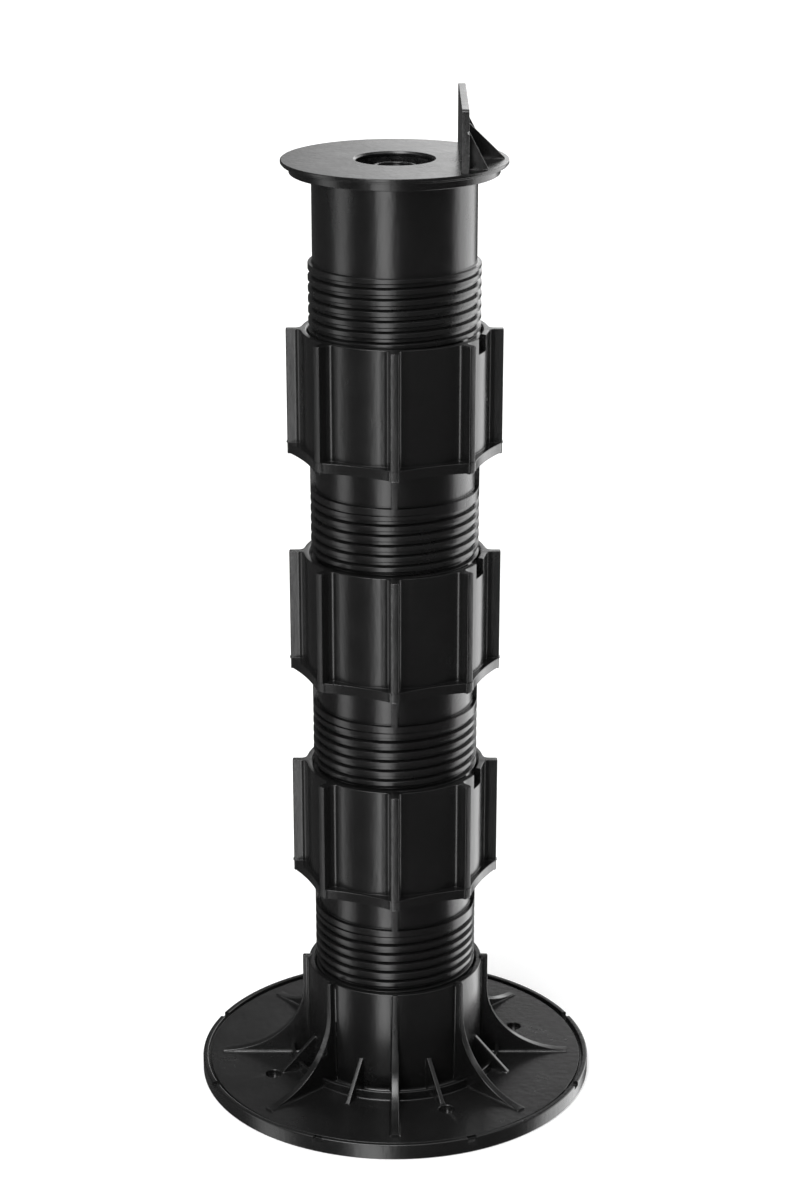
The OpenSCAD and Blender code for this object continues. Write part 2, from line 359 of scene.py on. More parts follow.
def thread(shell, top, ring, turn, path):
    """A right-handed male thread with its groove closing under a plain ring. The path of
    (radius, height) points runs from the ring's edge, by the inside, to the lower edge."""
    start = len(shell.points)
    segs = THREAD_COLUMNS
    turns = math.floor((THREAD_LEN - ring) / PITCH)
    n = turns * segs
    profile = groove_profile()
    full = PITCH - CREST_W
    depth = CREST_R - ROOT_R
    count = len(profile)
    half = count // 2
    lead_columns = segs * THREAD_LEAD / 360
    angles = np.arange(segs) * 2 * math.pi / segs
    columns = []
    for i in range(n + 1):
        low = top - ring + (i - n) * PITCH / segs
        room = min(low + full, top - ring) - low
        part = room / full
        for k, (h, d) in enumerate(profile):
            since = i if k >= half else i - segs
            lead = min(1.0, max(0.0, since / lead_columns))
            crest = ROOT_R + depth * lead
            r = min(CREST_R - d * part, crest)
            columns.append((r * math.cos(angles[i % segs]), r * math.sin(angles[i % segs]),
                            low + h * part))
    c = shell.add(columns)
    t = shell.revolve(path, segs, close=False)
    o = t + (len(path) - 1) * segs

    def col(i, k):
        return c + i * count + k

    faces = shell.faces
    last = col(n, 0)
    for i in range(n - 1):
        for k in range(half if i < segs else 0, count - 1):
            faces.append((col(i, k), col(i, k + 1), col(i + 1, k + 1), col(i + 1, k)))
    for k in range(count - 1):
        faces.append((col(n - 1, k), col(n - 1, k + 1), last))
    for i in range(n - segs):
        after = last if i + 1 + segs == n else col(i + segs + 1, 0)
        faces.append((col(i, count - 1), col(i + segs, 0), after, col(i + 1, count - 1)))
    for i in range(segs - 1):
        faces.append((o + i, col(i, half), col(i + 1, half), o + i + 1))
    faces.append((o + segs - 1, col(segs - 1, half),
                  *[col(segs, k) for k in range(half, -1, -1)],
                  *[col(0, k) for k in range(count - 1, half - 1, -1)], o))
    for i in range(1, segs):
        a = n - segs + i
        after = last if i == segs - 1 else col(a + 1, count - 1)
        faces.append((col(a, count - 1), t + i, t + (i + 1) % segs, after))
    faces.append((col(n - segs + 1, count - 1), col(n - segs, count - 1), last, t, t + 1))
    shell.turned(start, turn)


# ---- coupler -----------------------------------------------------------------


def fin_outline():
    """(x, y, notch) points once round the finned nut, anticlockwise; notch says where a point
    lies in the slot's width."""
    foot = WALL_R - 0.1
    corner = 0.6
    side = []
    for a in np.radians((0, 30, 60, 90)):
        side.append((FIN_R - corner + corner * math.cos(a),
                     FIN_HALF - corner + corner * math.sin(a)))
    reach = FIN_FILLET
    for a in np.radians((0, 18, 36, 54, 72, 90)):
        side.append((WALL_R + reach - (WALL_R + reach - foot) * math.sin(a),
                     FIN_HALF + reach * (1 - math.cos(a))))
    foot_angle = math.degrees(math.atan2(side[-1][1], side[-1][0]))
    notch_edge = 22.5 - math.degrees(math.asin(NOTCH_HALF / WALL_R))
    wall = np.concatenate([np.linspace(foot_angle, notch_edge, 8)[1:],
                           [notch_edge], np.linspace(notch_edge, 22.5, 5)[1:]])
    for a in np.radians(wall):
        side.append((WALL_R * math.cos(a), WALL_R * math.sin(a)))
    inside = [False] * (len(side) - 5) + [True] * 5
    sector = [(x, -y) for x, y in side[::-1]] + [(FIN_R, 0.0)] + side[:-1]
    marks = inside[::-1] + [False] + inside[:-1]
    out, flags = [], []
    for k in range(FINS):
        a = math.radians(45 * k)
        for (x, y), mark in zip(sector, marks):
            out.append((x * math.cos(a) - y * math.sin(a), x * math.sin(a) + y * math.cos(a)))
            flags.append(mark)
    return np.array(out), np.array(flags)


def flange_radius(angle):
    """Radius of the bottom flange, bowed in between the fins."""
    edge = 20.3
    ax, ay = FIN_R * math.cos(math.radians(edge)), FIN_R * math.sin(math.radians(edge))
    centre = (ax**2 + ay**2 - FLANGE_WAIST**2) / (2 * (ax - FLANGE_WAIST))
    radius = centre - FLANGE_WAIST
    off = np.radians((np.degrees(angle) % 45) - 22.5)
    inner = centre * np.cos(off) - np.sqrt(np.maximum(radius**2 - (centre * np.sin(off)) ** 2, 0))
    return np.minimum(inner, FIN_R - 0.4)


def nut(shell, rim):
    """The finned nut: fins, scalloped flange, bore, notch and the web above the collar."""
    outline, in_slot = fin_outline()
    angle = np.arctan2(outline[:, 1], outline[:, 0])
    own = np.linalg.norm(outline, axis=1)
    wide = np.maximum(own, flange_radius(angle))
    gap = np.degrees(angle) % 45 - 22.5
    across = own * np.sin(np.radians(gap))

    def fins(d=0.0):
        return inset(outline, d)

    def flange(d=0.0):
        r = np.maximum(np.linalg.norm(fins(d), axis=1), wide - d)
        return np.stack([r * np.cos(angle), r * np.sin(angle)], 1)

    def circle(r):
        a = np.where(np.abs(gap) < 9, np.radians(np.degrees(angle) - gap)
                     + np.arcsin(np.clip(across / r, -1, 1)), angle)
        return np.stack([r * np.cos(a), r * np.sin(a)], 1)

    bottom = rim - FIN_H
    low, high = bottom + FLANGE_LOW, bottom + FLANGE_HIGH
    floor_z = rim - BORE_DEPTH
    levels = [(circle(HOLLOW_R), bottom + 0.05), (circle(HOLLOW_R + 3), bottom)]
    levels += [(fins(d), bottom + EDGE - h) for d, h in reversed(edge_steps(EDGE))]
    levels += [(flange(0.25), low), (flange(0.07), low + 0.07), (flange(), low + 0.3)]
    levels += [(flange(d), high - EDGE + h) for d, h in edge_steps(EDGE)]
    levels += [(fins(-0.45), high), (fins(-0.13), high + 0.13), (fins(), high + 0.45)]
    levels += [(fins(), rim - NOTCH_H)]
    levels += [(fins(d), rim - EDGE + h) for d, h in edge_steps(EDGE)]
    levels += [(circle(BORE_R + 1.0), rim), (circle(BORE_R + 0.7), rim - 0.15),
               (circle(BORE_R + 0.1), rim - 0.75), (circle(BORE_R), rim - 1.0),
               (circle(BORE_R), rim - NOTCH_H), (circle(BORE_R), floor_z),
               (circle(HOLLOW_R), floor_z)]
    slot = in_slot & (np.abs(np.degrees(angle) - NOTCH_AT) < 8)
    rows = []
    for flat, z in levels:
        z = np.where(slot, min(z, rim - NOTCH_H), z)
        rows.append(np.column_stack([flat, z]))
    shell.grid(rows, close_rows=True)


def coupler(name, rim):
    """One coupler: the nut above, the collar with its stop ribs, and the male thread."""
    shell = Shell()
    nut(shell, rim)
    collar = rim - FIN_H - COLLAR_H
    low = collar - THREAD_LEN
    top = rim - FIN_H + 0.2
    path = [(CREST_R - d, collar - 0.35 + h) for d, h in edge_steps(0.35)]
    path += [(ROOT_R + 0.5, collar), (ROOT_R + 0.12, collar + 0.12), (ROOT_R, collar + 0.5),
             (ROOT_R, top - 0.8), (ROOT_R + 0.2, top - 0.4), (ROOT_R + 0.7, top),
             (HOLLOW_R + 0.02, top), (HOLLOW_R + 0.02, low + 0.5)]
    path += [(HOLLOW_R + d, low + 0.5 - h) for d, h in edge_steps(0.5)][1:]
    path += [(ROOT_R - d, low + 0.5 - h) for d, h in reversed(edge_steps(0.5))]
    thread(shell, collar, COUPLER_RING, COUPLER_TURN, path)
    half = STOP_RIB_HALF
    rib = rounded([(ROOT_R - 1, -half), (CREST_R, -half), (CREST_R, half), (ROOT_R - 1, half)],
                  [0, 0.5, 0.5, 0])
    for k in range(4):
        first = len(shell.points)
        shell.slab(rib, collar - 0.2, top + 0.2, 0.1, 0.1)
        shell.turned(first, 90 * k)
    return shell.piece(name)


# ---- ribs of the foot and gussets --------------------------------------------


def plate(shell, edge, root, half, edge_r):
    """An upright plate in the XZ plane: its free edge and its buried root are lists of equally
    many (x, z) points, and half gives the half thickness at a point."""
    near = np.array([0, 0.6, 0.8, 1.1, 1.5, 2.0, 2.7])
    rows = []
    for e, a in zip(edge, root):
        e, a = np.array(e, float), np.array(a, float)
        reach = np.linalg.norm(e - a)
        along = (e - a) / max(reach, 1e-9)
        side = max(reach - edge_r, 0.0)
        close = near * min(1.0, side / 4)
        steps = np.concatenate([close, close[-1] + (side - close[-1]) * np.linspace(0.2, 1, 5)])
        strip = []
        for s in steps:
            p = a + along * s
            strip.append((p[0], half(*p), p[1]))
        for d, h in edge_steps(min(edge_r, reach / 2))[1:]:
            p = a + along * (side + h)
            strip.append((p[0], half(*p) - d, p[1]))
        rows.append(strip + [(x, -y, z) for x, y, z in reversed(strip)])
    first = shell.grid(rows)
    shell.cap(first, len(rows[0]))
    shell.cap(first + (len(rows) - 1) * len(rows[0]), len(rows[0]))


def split_run(edge, k, count):
    """The outline with more points on the straight run that follows point k."""
    run = [edge[k] * (1 - w) + edge[k + 1] * w for w in np.linspace(0, 1, count)[1:-1]]
    return edge[:k + 1] + run + edge[k + 1:]


def web_root(count, inner, top, end, floor_z):
    """Buried points of a triangular web: down its wall, then out under its floor."""
    root = []
    for w in np.linspace(0, 2, count):
        if w <= 1:
            root.append((inner, top + (floor_z - top) * w))
        else:
            root.append((inner + (end - inner) * (w - 1), floor_z))
    return root


def flare(distance, radius):
    """How far a fillet stands off the side of a plate at a distance from the floor it joins."""
    d = min(max(distance, 0.0), radius)
    return radius - math.sqrt(radius**2 - (radius - d) ** 2)


def main_rib(shell):
    """Straight at the socket's wall, then a hollow sweep down to the deck."""
    bend = SOCKET_H + 1 - RIB_STRAIGHT
    inner = WALL_R - 1.2
    top = SOCKET_H + 1
    lead = rounded([(inner, top - 2), (inner, top), (RIB_TOP_R, top), (RIB_TOP_R, bend)],
                   [0, 0.5, 0.7, 0], closed=False)
    straight = [(RIB_TOP_R, z) for z in np.linspace(top - 3, bend, 5)]
    edge = lead[:-1] + straight
    sweep = []
    for t in np.radians(np.linspace(4, 90, 22)):
        sweep.append((RIB_REACH - (RIB_REACH - RIB_TOP_R) * math.cos(t),
                      bend - (bend - DECK_Z - 0.8) * math.sin(t)))
    tail = [(RIB_REACH + 0.1, DECK_Z + 0.3), (RIB_REACH + 0.1, DECK_Z - 0.5)]
    buried = WALL_R - 0.6
    root = [(buried, top - 3.2)] * (len(lead) - 1)
    root += [(buried, z) for z in np.linspace(top - 3.4, bend, 5)]
    corner = (buried, DECK_Z - 0.6)
    for k in range(len(sweep)):
        w = (k + 1) / len(sweep)
        if w <= 0.4:
            root.append((buried, bend + (corner[1] - bend) * w / 0.4))
        else:
            root.append((buried + (RIB_REACH - 1.5 - buried) * ((w - 0.4) / 0.6), corner[1]))
    root += [(RIB_REACH - 1.2, corner[1]), (RIB_REACH - 0.9, corner[1])]
    edge = edge + sweep + tail

    def half(x, z):
        share = min(max((z - DECK_Z) / (top - DECK_Z), 0), 1)
        web = RIB_FOOT_HALF - (RIB_FOOT_HALF - RIB_TOP_HALF) * share
        wall = flare(x - WALL_R, 1.4) if x > inner + 1.3 else 0.0
        return web + wall + flare(z - DECK_Z, 1.2)

    plate(shell, edge, root, half, 0.4)


def small_gusset(shell):
    """The triangular gusset between two main ribs."""
    inner = WALL_R - 0.6
    top, tip = GUSSET_TOP, GUSSET_REACH
    edge = rounded([(inner, top - 0.4), (WALL_R + 0.6, top), (tip, DECK_Z + 0.4),
                    (tip, DECK_Z - 0.5)], [0, 0.6, 0.4, 0], closed=False)
    edge = split_run(edge, 5, 10)
    root = web_root(len(edge), inner, top - 1, tip - 1, DECK_Z - 0.6)

    def half(x, z):
        return GUSSET_HALF + flare(x - WALL_R, 1.0) + flare(z - DECK_Z, 1.0)

    plate(shell, edge, root, half, 0.4)


# ---- foot --------------------------------------------------------------------


def base():
    """The foot: revolved disc and socket, ribs, gussets and the ribbed underside."""
    wall_in, wall_out, wall_top = RING_WALL
    corners = [
        ((0, DECK_LOW), 0), ((BORE_R, DECK_LOW), 0.3), ((BORE_R, 0), 0.4), ((WALL_R, 0), 0.4),
        ((WALL_R, DECK_LOW), 0.3), ((BASE_R - RIM_T, DECK_LOW), 0.6), ((BASE_R - RIM_T, 0), 0.5),
        ((BASE_R, 0), 0.7), ((BASE_R, RIM_H), 0.8), ((GROOVE_R[1], RIM_H), 0.4),
        ((GROOVE_R[1], GROOVE_Z), 0.3), ((GROOVE_R[0], GROOVE_Z), 0.3),
        ((GROOVE_R[0], DECK_Z), 0.35), *[((r, DECK_Z), 0) for r in DECK_RINGS],
        ((wall_out, DECK_Z), 0.7), ((wall_out, wall_top), 0.5),
        ((wall_in, wall_top), 0.5), ((wall_in, DECK_Z), 0.7), ((WALL_R, DECK_Z), 2.0),
        ((WALL_R, SOCKET_H), 0.45), ((BORE_R + 0.9, SOCKET_H), 0.3),
        ((BORE_R, SOCKET_H - 0.9), 0.3), ((BORE_R, GROOVE_Z), 0.5), ((0, GROOVE_Z), 0)]
    disc = Shell()
    disc.revolve(rounded([c for c, _ in corners], [r for _, r in corners], closed=False), 240,
                 close=False)
    holes = Shell()
    hole = [(0, -1), (HOLE_R, -1), (HOLE_R, DECK_Z - HOLE_LIP)]
    hole += [(HOLE_R + d, DECK_Z - HOLE_LIP + h) for d, h in edge_steps(HOLE_LIP)][1:]
    hole += [(HOLE_R + HOLE_LIP, DECK_Z + 1), (0, DECK_Z + 1)]
    for k in range(4):
        a = math.radians(HOLE_TURN + 90 * k)
        holes.revolve(hole, 48, close=False,
                      centre=(HOLE_AT * math.cos(a), HOLE_AT * math.sin(a)))
    for k in range(8):
        first = len(holes.points)
        start, end, half = BASE_R - RIM_NOTCH_DEEP, BASE_R + 1, RIM_NOTCH_HALF
        notch = rounded([(start, -half), (end, -half), (end, half), (start, half)], 0.4)
        holes.slab(notch, RIM_H - RIM_NOTCH_H, RIM_H + 1, 0.2, 0.2)
        holes.turned(first, 22.5 + 45 * k)
    plate_piece = disc.piece("disc", [holes])
    shell = Shell()
    for k in range(8):
        first = len(shell.points)
        main_rib(shell)
        shell.turned(first, 45 * k)
        first = len(shell.points)
        small_gusset(shell)
        shell.turned(first, 22.5 + 45 * k)
    underside(shell)
    return joined("base", plate_piece, shell.piece("ribs"))


def bar(shell, start, end, turn):
    """A low rib under the deck from one radius to another."""
    first = len(shell.points)
    half = UNDER_HALF
    outline = [(start, -half), (end, -half), (end, half), (start, half)]
    shell.slab(outline, 0, DECK_LOW + 0.4, 0.3, 0.05)
    shell.turned(first, turn)


def underside(shell):
    """Ribs, ring and bosses that stiffen the deck from below."""
    outer = BASE_R - 3.0
    gap = 5.2
    buried = DECK_LOW + 0.4
    for k in range(16):
        turn = 22.5 * k
        if k % 4 == 1:
            bar(shell, WALL_R - 0.8, HOLE_AT - gap, turn)
            bar(shell, HOLE_AT + gap, outer, turn)
        else:
            bar(shell, WALL_R - 0.8, outer, turn)
    for k in range(4):
        bar(shell, -BORE_R - 0.8, BORE_R + 0.8, 45 * k)
    near, far = UNDER_RING
    ring = [(near, 0), (far, 0), (far, buried), (near, buried)]
    shell.revolve(rounded(ring, [0.3, 0.3, 0, 0]), 120)
    wall = HOLE_R + HOLE_BOSS
    eye = [(HOLE_R, 0), (wall, 0), (wall, buried), (HOLE_R, buried)]
    for k in range(4):
        a = math.radians(HOLE_TURN + 90 * k)
        shell.revolve(rounded(eye, [0.3, 0.3, 0, 0]), 48,
                      centre=(HOLE_AT * math.cos(a), HOLE_AT * math.sin(a)))


# ---- screw tube --------------------------------------------------------------


def ball_height(r, radius):
    """Height of the lower half of a ball round the bowl's centre, at distance r."""
    return BALL_Z - math.sqrt(radius**2 - r**2)


def bowl():
    """The spherical floor of the tube, with its four holes."""
    skin = MOUTH_R + 0.6
    shell = Shell()
    upper = [(r, ball_height(r, BOWL_R)) for r in np.linspace(skin, 0, 26)]
    lower = [(r, ball_height(r, BOWL_R + BOWL_T)) for r in np.linspace(0, skin, 14)]
    shell.revolve(upper + lower, 144)
    holes = Shell()
    z = ball_height(BOWL_HOLE_RING, BOWL_R)
    drill = [(0, z - 6), (BOWL_HOLE_R, z - 6), (BOWL_HOLE_R, z - 0.6), (BOWL_HOLE_R + 1.6, z + 4),
             (0, z + 4)]
    for k in range(4):
        a = math.radians(BOWL_HOLE_AT + 90 * k)
        holes.revolve(drill, 40, close=False,
                      centre=(BOWL_HOLE_RING * math.cos(a), BOWL_HOLE_RING * math.sin(a)))
    return shell.piece("bowl", [holes])


def top_tube():
    """The screw tube with its thread, rim, bowl and lugged hub."""
    shell = Shell()
    low = TUBE_THREAD_Z - THREAD_LEN
    path = [(CREST_R - d, TUBE_THREAD_Z - 0.35 + h) for d, h in edge_steps(0.35)]
    path += [(ROOT_R + 0.6, TUBE_THREAD_Z), (ROOT_R + 0.15, TUBE_THREAD_Z + 0.15),
             (ROOT_R, TUBE_THREAD_Z + 0.6)]
    path += [(ROOT_R - d, TUBE_TOP - 0.6 + h) for d, h in edge_steps(0.6)]
    path += [(MOUTH_R + d, TUBE_TOP - 0.5 + h) for d, h in reversed(edge_steps(0.5))]
    path += [(MOUTH_R, TUBE_TOP - 3.2), (HOLLOW_R, TUBE_TOP - 3.2), (HOLLOW_R, low + 0.5)]
    path += [(HOLLOW_R + d, low + 0.5 - h) for d, h in edge_steps(0.5)][1:]
    path += [(ROOT_R - d, low + 0.5 - h) for d, h in reversed(edge_steps(0.5))]
    thread(shell, TUBE_THREAD_Z, TUBE_RING, TUBE_TURN, path)
    floor_z = ball_height(0, BOWL_R) - 0.8
    recess, recess_z = HUB_R - HUB_WALL, HUB_Z - HUB_RECESS
    hub = [(0, floor_z), (HUB_R, floor_z), (HUB_R, HUB_Z), (recess, HUB_Z), (recess, recess_z),
           (0, recess_z)]
    shell.revolve(rounded(hub, [0, 0, 0.7, 0.6, 0.4, 0], closed=False), 96, close=False)
    end = LUG_REACH - LUG_HALF
    lug = [(HUB_R - 2, -LUG_HALF), (end, -LUG_HALF)]
    lug += [(end + LUG_HALF * math.cos(a), LUG_HALF * math.sin(a))
            for a in np.radians(np.linspace(-80, 80, 11))]
    lug += [(end, LUG_HALF), (HUB_R - 2, LUG_HALF)]
    for k in range(4):
        first = len(shell.points)
        shell.slab(lug, HUB_Z - LUG_LOW, HUB_Z - LUG_TOP, 0.9, 0.9)
        shell.turned(first, LUG_AT + 90 * k)
    return joined("top_tube", shell.piece("tube"), bowl())


# ---- head --------------------------------------------------------------------


def boss(shell):
    """Thin rings and radial ribs whose lower edges lie on the ball."""
    ball = BOWL_R - BALL_GAP
    top = DISC_Z + 0.3
    for outer in BOSS_RINGS:
        inner = outer - BOSS_RING_T
        ring = [(inner, ball_height(inner, ball) + BOSS_STEP),
                (outer, ball_height(outer, ball) + BOSS_STEP),
                (outer, top), (inner, top)]
        shell.revolve(rounded(ring, [0.3, 0.3, 0, 0], steps=3), 144)
    start, end = HEAD_HOLE_R + 0.4, BOSS_RINGS[-1] - 0.5
    reach = np.linspace(start, end, 12)
    half, soft = BOSS_RIB_HALF, BOSS_RIB_SOFT
    for k in range(BOSS_RIBS):
        first = len(shell.points)
        rows = []
        for r in reach:
            z = ball_height(r, ball)
            side = [(r, half - d, z + soft - h) for d, h in edge_steps(soft)]
            rows.append([(r, half, top)] + side + [(r, -y, zz) for _, y, zz in reversed(side)]
                        + [(r, -half, top)])
        n = len(rows[0])
        start_at = shell.grid(rows)
        shell.cap(start_at, n)
        shell.cap(start_at + (len(rows) - 1) * n, n)
        shell.turned(first, 360 / BOSS_RIBS * k)


def tab_gusset(shell, y, reach):
    """A triangular web behind the tab."""
    first = len(shell.points)
    inner, outer = TAB_X[0] + 1, TAB_X[1]
    top = HEAD_Z + GUSSET_H
    edge = rounded([(inner, top), (outer + 0.3, top), (reach, HEAD_Z + 0.4),
                    (reach, HEAD_Z - 0.4)], [0, 0.5, 0.4, 0], closed=False)
    edge = split_run(edge, 5, 8)
    root = web_root(len(edge), inner, top - 0.8, reach - 0.8, HEAD_Z - 0.4)

    def half(x, z):
        return TAB_GUSSET_HALF + flare(x - outer, 0.6) + flare(z - HEAD_Z, 0.6)

    plate(shell, edge, root, half, 0.3)
    shell.points[first:] = [(x, yy + y, z) for x, yy, z in shell.points[first:]]


def tab():
    """The upright tab with its break groove."""
    outline = rounded([(-TAB_HALF, HEAD_Z - 0.5), (TAB_HALF, HEAD_Z - 0.5), (TAB_HALF, TAB_TOP),
                       (-TAB_HALF, TAB_TOP)], [0, 0, 2.2, 2.2], steps=5)
    shell = Shell()
    shell.slab(outline, TAB_X[0], TAB_X[1], 0.35, 0.35,
               place=lambda p: np.column_stack([p[:, 2], p[:, 0], p[:, 1]]))
    groove = Shell()
    deep = TAB_GROOVE
    outline = [(TAB_X[1] - deep, TAB_GROOVE_Z), (TAB_X[1] + 1, TAB_GROOVE_Z - deep - 1),
               (TAB_X[1] + 1, TAB_GROOVE_Z + deep + 1)]
    rows = [[(x, y, z) for x, z in outline] for y in (-TAB_HALF - 1, TAB_HALF + 1)]
    first = groove.grid(rows)
    groove.cap(first, 3)
    groove.cap(first + 3, 3)
    return shell.piece("tab", [groove])


def head():
    """The levelling head: disc, skirt, ribbed boss, tab and gussets."""
    corners = [
        ((HEAD_HOLE_R, DISC_Z), 0.4), ((SKIRT_R - 2, DISC_Z), 0.3),
        ((SKIRT_R - 2, DISC_Z - SKIRT_H), 0.4), ((SKIRT_R, DISC_Z - SKIRT_H), 0.5),
        ((SKIRT_R, DISC_Z), 0.3), ((HEAD_R - 0.7, DISC_Z), 0.3),
        ((HEAD_R - 0.7, DISC_Z + 0.8), 0.2), ((HEAD_R, DISC_Z + 0.8), 0.25),
        ((HEAD_R, HEAD_Z), 0.45), ((HEAD_HOLE_R + 0.9, HEAD_Z), 0.35),
        ((HEAD_HOLE_R, HEAD_Z - 0.9), 0.35)]
    shell = Shell()
    shell.revolve(rounded([c for c, _ in corners], [r for _, r in corners]), 240)
    boss(shell)
    for y, reach in GUSSETS:
        tab_gusset(shell, y, reach)
    return joined("head", shell.piece("disc"), tab())


# ---- moulded plastic ---------------------------------------------------------


def plastic(name, shift):
    """Black moulded polypropylene: fine orange peel, faint flow lines along the part, uneven
    gloss, and edges rubbed a little paler."""
    material = bpy.data.materials.new(name)
    material.use_nodes = True
    nodes, links = material.node_tree.nodes, material.node_tree.links
    shader = nodes["Principled BSDF"]
    shader.inputs["IOR"].default_value = 1.5
    shader.inputs["Specular IOR Level"].default_value = 0.5

    def node(kind, **values):
        made = nodes.new(kind)
        for key, value in values.items():
            if key in made.inputs:
                made.inputs[key].default_value = value
            else:
                setattr(made, key, value)
        return made

    place = node("ShaderNodeTexCoord")
    moved = node("ShaderNodeMapping", Location=(shift, shift * 0.7, shift * 0.3))
    links.new(place.outputs["Object"], moved.inputs["Vector"])
    stretched = node("ShaderNodeMapping", Scale=(1.0, 1.0, 0.3))
    links.new(moved.outputs["Vector"], stretched.inputs["Vector"])

    def noise(scale, detail, rough, source):
        made = node("ShaderNodeTexNoise", Scale=scale, Detail=detail, Roughness=rough)
        links.new(source.outputs["Vector"], made.inputs["Vector"])
        return made

    peel = noise(1500.0, 3.0, 0.55, moved)
    flow = noise(300.0, 2.0, 0.5, stretched)
    cloud = noise(38.0, 4.0, 0.6, moved)
    scuff = noise(260.0, 6.0, 0.7, moved)

    def ramp(source, stops):
        made = nodes.new("ShaderNodeValToRGB")
        made.color_ramp.elements[0].position, made.color_ramp.elements[0].color = stops[0]
        made.color_ramp.elements[1].position, made.color_ramp.elements[1].color = stops[1]
        links.new(source, made.inputs["Fac"])
        return made

    def grey(v):
        return (v, v, v, 1.0)

    body = ramp(cloud.outputs["Fac"], [(0.3, grey(0.0070)), (0.72, grey(0.0100))])
    edges = nodes.new("ShaderNodeNewGeometry")
    rub = ramp(edges.outputs["Pointiness"], [(0.535, (0, 0, 0, 1)), (0.61, (1, 1, 1, 1))])
    patch = ramp(scuff.outputs["Fac"], [(0.42, (0.15, 0.15, 0.15, 1)), (0.68, (1, 1, 1, 1))])
    wear = node("ShaderNodeMath", operation="MULTIPLY")
    links.new(rub.outputs["Color"], wear.inputs[0])
    links.new(patch.outputs["Color"], wear.inputs[1])
    mix = node("ShaderNodeMix", data_type="RGBA")
    mix.inputs[7].default_value = grey(0.05)
    links.new(wear.outputs["Value"], mix.inputs[0])
    links.new(body.outputs["Color"], mix.inputs[6])
    links.new(mix.outputs[2], shader.inputs["Base Color"])

    gloss = ramp(cloud.outputs["Fac"], [(0.25, grey(0.21)), (0.75, grey(0.28))])
    fine = ramp(scuff.outputs["Fac"], [(0.3, grey(0.97)), (0.7, grey(1.06))])
    rough = node("ShaderNodeMath", operation="MULTIPLY")
    links.new(gloss.outputs["Color"], rough.inputs[0])
    links.new(fine.outputs["Color"], rough.inputs[1])
    links.new(rough.outputs["Value"], shader.inputs["Roughness"])

    grain = node("ShaderNodeBump", Strength=0.22, Distance=0.00005)
    links.new(peel.outputs["Fac"], grain.inputs["Height"])
    lines = node("ShaderNodeBump", Strength=0.5, Distance=0.00014)
    links.new(flow.outputs["Fac"], lines.inputs["Height"])
    links.new(grain.outputs["Normal"], lines.inputs["Normal"])
    links.new(lines.outputs["Normal"], shader.inputs["Normal"])
    return material


# ---- studio ------------------------------------------------------------------


def floor():
    """A plain pale floor that renders near white and keeps the object's shadow."""
    half = 12.0
    mesh = bpy.data.meshes.new("floor")
    mesh.from_pydata([(-half, -half, 0), (half, -half, 0), (half, half, 0), (-half, half, 0)], [],
                     [(0, 1, 2, 3)])
    obj = bpy.data.objects.new("floor", mesh)
    bpy.context.scene.collection.objects.link(obj)
    material = bpy.data.materials.new("floor_white")
    material.use_nodes = True
    nodes, links = material.node_tree.nodes, material.node_tree.links
    nodes.clear()
    out = nodes.new("ShaderNodeOutputMaterial")
    diffuse = nodes.new("ShaderNodeBsdfDiffuse")
    diffuse.inputs["Color"].default_value = (FLOOR_GREY, FLOOR_GREY, FLOOR_GREY, 1)
    glow = nodes.new("ShaderNodeEmission")
    seen = nodes.new("ShaderNodeLightPath")
    share = nodes.new("ShaderNodeMath")
    share.operation = "MULTIPLY"
    share.inputs[1].default_value = FLOOR_GLOW
    both = nodes.new("ShaderNodeAddShader")
    links.new(seen.outputs["Is Camera Ray"], share.inputs[0])
    links.new(share.outputs["Value"], glow.inputs["Strength"])
    links.new(diffuse.outputs["BSDF"], both.inputs[0])
    links.new(glow.outputs["Emission"], both.inputs[1])
    links.new(both.outputs["Shader"], out.inputs["Surface"])
    mesh.materials.append(material)
    obj.visible_glossy = False


# each light's azimuth from the front towards +X, half width and soft edge in degrees, its
# strength, and the lowest and highest sine of elevation
STRIPS = (
    (-14.0, 9.0, 5.0, 5.0, -1.0, 0.45),
    (-78.0, 10.0, 7.0, 2.4, -1.0, 0.45),
    (120.0, 25.0, 7.0, 3.9, -1.0, 0.45),
    (162.0, 18.0, 7.0, 3.2, 0.05, 0.27),
)
# the ceiling's strength, and the sines of elevation at which it begins and is full
CEILING = (1.3, 0.78, 0.9)
ROOM = 0.10

FLOOR_GREY = 0.86
FLOOR_GLOW = 0.31
LENS = 81.975
CAMERA_AT = (0.00248, -1.2609, 0.6904)
CAMERA_DOWN = 22.827
CAMERA_SHIFT = 0.15


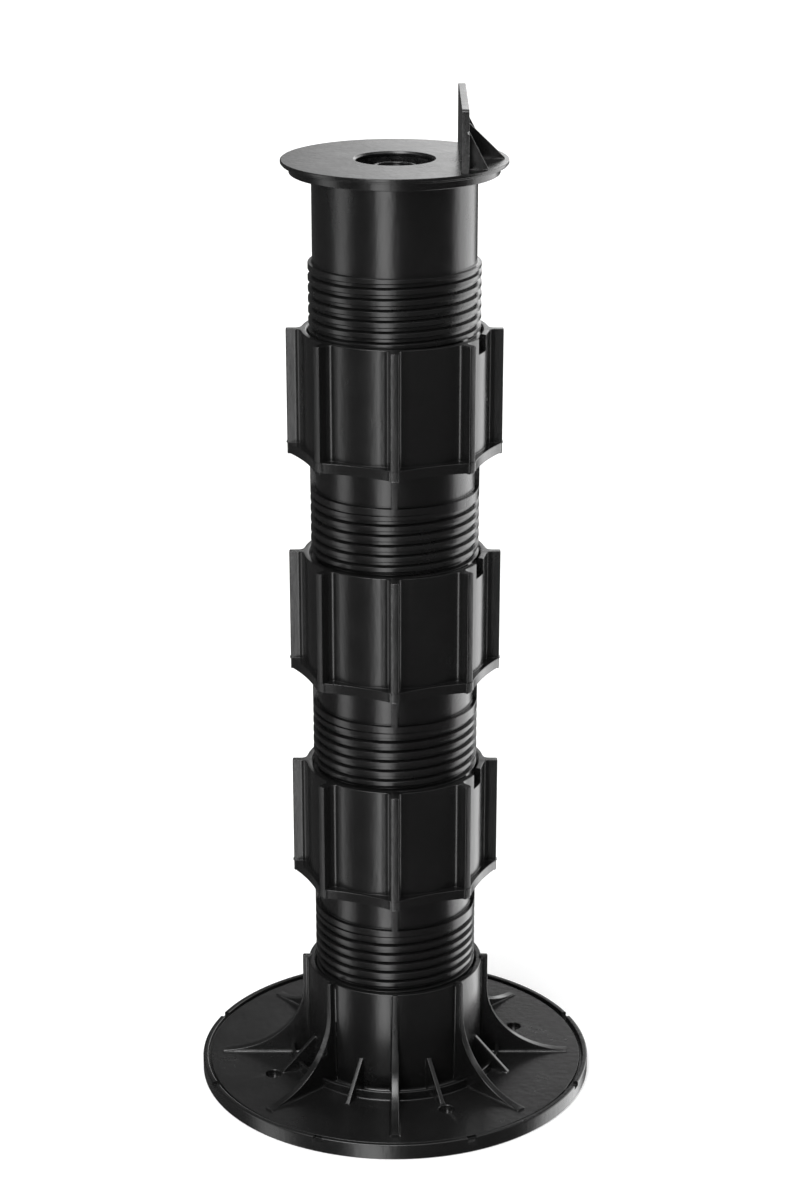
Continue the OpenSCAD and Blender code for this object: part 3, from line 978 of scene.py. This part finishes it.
def studio_world():
    """A dim room with strip lights round the object and a lit ceiling; pale for the camera."""
    world = bpy.data.worlds.new("studio")
    bpy.context.scene.world = world
    world.use_nodes = True
    nodes, links = world.node_tree.nodes, world.node_tree.links
    nodes.clear()

    def math_node(operation, first, second=None):
        made = nodes.new("ShaderNodeMath")
        made.operation = operation
        for slot, value in enumerate((first, second)):
            if isinstance(value, (int, float)):
                made.inputs[slot].default_value = value
            elif value is not None:
                links.new(value, made.inputs[slot])
        return made.outputs["Value"]

    where = nodes.new("ShaderNodeTexCoord")
    parts = nodes.new("ShaderNodeSeparateXYZ")
    links.new(where.outputs["Generated"], parts.inputs["Vector"])
    x, y, z = (parts.outputs[a] for a in "XYZ")

    def fade(value, start, end):
        """0 before start, 1 past end, smooth in between."""
        made = nodes.new("ShaderNodeMapRange")
        made.interpolation_type = "SMOOTHSTEP"
        made.inputs["From Min"].default_value = start
        made.inputs["From Max"].default_value = end
        links.new(value, made.inputs["Value"])
        return made.outputs["Result"]

    length = math_node("SQRT", math_node("ADD", math_node("MULTIPLY", x, x),
                                         math_node("MULTIPLY", y, y)))
    strength = ROOM
    for azimuth, half, soft, power, lowest, highest in STRIPS:
        a = math.radians(azimuth)
        along = math_node("ADD", math_node("MULTIPLY", x, math.sin(a)),
                          math_node("MULTIPLY", y, -math.cos(a)))
        off = math_node("ARCCOSINE", math_node("DIVIDE", along, length))
        band = fade(off, math.radians(half + soft), math.radians(half - soft))
        tall = math_node("MULTIPLY", fade(z, lowest - 0.05, lowest + 0.05),
                         fade(z, highest + 0.25, highest))
        lit = math_node("MULTIPLY", math_node("MULTIPLY", band, tall), power)
        strength = math_node("ADD", strength, lit)
    power, begins, full = CEILING
    strength = math_node("ADD", strength, math_node("MULTIPLY", fade(z, begins, full), power))
    light = nodes.new("ShaderNodeBackground")
    links.new(strength, light.inputs["Strength"])
    white = nodes.new("ShaderNodeBackground")
    seen = nodes.new("ShaderNodeLightPath")
    pick = nodes.new("ShaderNodeMixShader")
    out = nodes.new("ShaderNodeOutputWorld")
    links.new(seen.outputs["Is Camera Ray"], pick.inputs["Fac"])
    links.new(light.outputs["Background"], pick.inputs[1])
    links.new(white.outputs["Background"], pick.inputs[2])
    links.new(pick.outputs["Shader"], out.inputs["Surface"])


def overhead_light():
    """A wide soft light from above and a little in front, even over the whole floor."""
    data = bpy.data.lights.new("overhead", "SUN")
    data.energy = 1.7
    data.angle = math.radians(30)
    obj = bpy.data.objects.new("overhead", data)
    bpy.context.scene.collection.objects.link(obj)
    obj.location = (0, 0, 3)
    obj.rotation_euler = (math.radians(18), math.radians(-12), 0)


def camera():
    """The camera looks down a little from the front, with a long lens."""
    data = bpy.data.cameras.new("camera")
    data.lens = LENS
    data.sensor_width = 36.0
    data.shift_y = CAMERA_SHIFT
    data.clip_start, data.clip_end = 0.05, 60
    obj = bpy.data.objects.new("camera", data)
    bpy.context.scene.collection.objects.link(obj)
    obj.location = CAMERA_AT
    obj.rotation_euler = (math.radians(90 - CAMERA_DOWN), 0, 0)
    bpy.context.scene.camera = obj


# ---- the object --------------------------------------------------------------

piece = finished(base(), "foot", plastic("foot_black", 0.3))
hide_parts("base")

bodies = ("lower_coupler", "middle_coupler", "upper_coupler")
for number, (node_name, body_name) in enumerate(zip(COUPLERS, bodies)):
    rim_z = node_box(node_name)[1][2]
    piece = finished(coupler(node_name + "_skin", rim_z), body_name,
                     plastic(node_name + "_black", 1.7 + 0.9 * number))
    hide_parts(node_name)

piece = finished(top_tube(), "screw_tube", plastic("tube_black", 5.2))
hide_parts("top_tube")

piece = finished(head(), "levelling_head", plastic("head_black", 7.1))
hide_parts("head")

floor()
studio_world()
overhead_light()
camera()
bpy.context.scene.view_settings.view_transform = "Standard"
